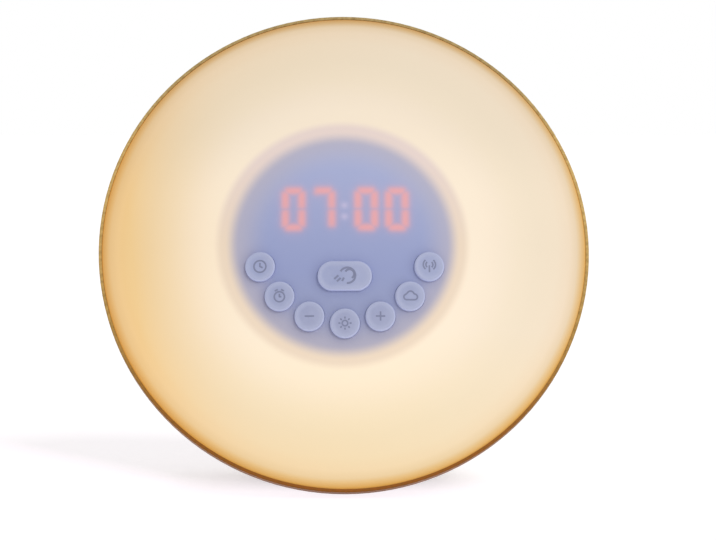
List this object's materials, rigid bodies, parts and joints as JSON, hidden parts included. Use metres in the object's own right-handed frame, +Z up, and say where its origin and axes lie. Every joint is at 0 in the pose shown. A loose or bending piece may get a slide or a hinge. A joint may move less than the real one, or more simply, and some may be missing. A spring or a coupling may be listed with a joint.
{
  "type": "sunrise alarm clock",
  "caption": "Leaning round sunrise lamp and alarm clock: domed milky face with display and press keys, gold trim ring, tapered white rear housing with speaker grille and battery door.",
  "frame": {"origin": "on the surface that the clock stands on, under the middle of its bounding box", "axes": "+Z up, the face looks to -Y and leans back, +X to the right as the face is seen"},
  "size_m": [0.17, 0.0904, 0.1646],
  "materials": {
    "milky_plastic": "satin milky acrylic",
    "ring_gold": "satin gold",
    "white_shell": "fine spark-eroded ABS",
    "key_plastic": "satin milky",
    "foot_rubber": "matt",
    "screw_steel": "zinc plated",
    "black_plastic": "matt",
    "switch_plastic": "satin",
    "board_green": "solder mask",
    "module_grey": "matt",
    "segment_red": "glowing resin",
    "reflector_white": "bright matt white",
    "board_white": "white solder mask",
    "chip_yellow": "phosphor resin",
    "chip_black": "epoxy",
    "capacitor_sleeve": "shrunk sleeve",
    "can_metal": "drawn can",
    "plug_nylon": "nylon",
    "basket_steel": "pressed and zinc plated",
    "ferrite": "sintered",
    "copper": "enamelled wire",
    "cone_paper": "pressed paper",
    "foam": "foam",
    "plated_contact": "nickel plated",
    "cell_sleeve": "printed sleeve, plain",
    "ribbon_grey": "flat cable",
    "wire_red": "PVC",
    "wire_dark": "PVC"
  },
  "bodies": {
    "case": {"front_diffuser": "milky_plastic", "edge_ring": "ring_gold", "rear_housing": "white_shell", "rubber_feet": "foot_rubber", "housing_screws": "screw_steel", "switch_bodies": "switch_plastic", "display_board": "board_green", "digit_module": "module_grey", "digit_segments": "segment_red", "light_shield": "reflector_white", "display_screws": "screw_steel", "shield_screws": "screw_steel", "reflector_bowl": "reflector_white", "lamp_board": "board_white", "lamp_chips": "chip_yellow", "main_board": "board_green", "main_screws": "screw_steel", "control_chips": "chip_black", "capacitors": "capacitor_sleeve", "inductor": "chip_black", "crystal": "can_metal", "connectors": "plug_nylon", "speaker_basket": "basket_steel", "speaker_magnet": "ferrite", "speaker_yoke": "can_metal", "speaker_surround": "foam", "speaker_gasket": "foam", "speaker_screws": "screw_steel", "power_socket": "black_plastic", "socket_pin": "plated_contact", "aerial_bush": "foot_rubber", "backup_cells": "cell_sleeve", "battery_contacts": "plated_contact", "battery_springs": "plated_contact", "ribbon_cable": "ribbon_grey", "lamp_wires": "wire_red", "speaker_wires": "wire_dark", "battery_wires": "wire_red", "power_wires": "wire_red"},
    "clock_press": {"clock_key": "key_plastic", "clock_plunger": "black_plastic"},
    "alarm_press": {"alarm_key": "key_plastic", "alarm_plunger": "black_plastic"},
    "minus_press": {"minus_key": "key_plastic", "minus_plunger": "black_plastic"},
    "light_press": {"light_key": "key_plastic", "light_plunger": "black_plastic"},
    "plus_press": {"plus_key": "key_plastic", "plus_plunger": "black_plastic"},
    "sound_press": {"sound_key": "key_plastic", "sound_plunger": "black_plastic"},
    "radio_press": {"radio_key": "key_plastic", "radio_plunger": "black_plastic"},
    "snooze_press": {"snooze_key": "key_plastic", "snooze_plunger": "black_plastic"},
    "battery_door": {"battery_door": "white_shell"},
    "speaker_cone": {"speaker_cone": "cone_paper", "dust_cap": "cone_paper", "voice_coil": "copper"}
  },
  "joints": [
    {"name": "clock_press", "type": "slide", "parent": "case", "child": "clock_press", "axis": [0.0813, 0.9599, -0.2682], "range_m": [0, 0.0004], "stiffness_N_per_m": 1200},
    {"name": "alarm_press", "type": "slide", "parent": "case", "child": "alarm_press", "axis": [0.0626, 0.9687, -0.2403], "range_m": [0, 0.0004], "stiffness_N_per_m": 1200},
    {"name": "minus_press", "type": "slide", "parent": "case", "child": "minus_press", "axis": [0.034, 0.9746, -0.2215], "range_m": [0, 0.0004], "stiffness_N_per_m": 1200},
    {"name": "light_press", "type": "slide", "parent": "case", "child": "light_press", "axis": [0, 0.9766, -0.2149], "range_m": [0, 0.0004], "stiffness_N_per_m": 1200},
    {"name": "plus_press", "type": "slide", "parent": "case", "child": "plus_press", "axis": [-0.034, 0.9746, -0.2215], "range_m": [0, 0.0004], "stiffness_N_per_m": 1200},
    {"name": "sound_press", "type": "slide", "parent": "case", "child": "sound_press", "axis": [-0.0626, 0.9687, -0.2403], "range_m": [0, 0.0004], "stiffness_N_per_m": 1200},
    {"name": "radio_press", "type": "slide", "parent": "case", "child": "radio_press", "axis": [-0.0813, 0.9599, -0.2682], "range_m": [0, 0.0004], "stiffness_N_per_m": 1200},
    {"name": "snooze_press", "type": "slide", "parent": "case", "child": "snooze_press", "axis": [0, 0.9657, -0.2597], "range_m": [0, 0.0004], "stiffness_N_per_m": 1200},
    {"name": "door_tip", "type": "hinge", "parent": "case", "child": "battery_door", "pos_m": [0, 0.04403, 0.06355], "axis": [1, 0, 0], "range_deg": [0, 100]},
    {"name": "cone_travel", "type": "slide", "parent": "case", "child": "speaker_cone", "axis": [0, 1, 0], "range_m": [-0.0008, 0.0008], "stiffness_N_per_m": 900}
  ]
}
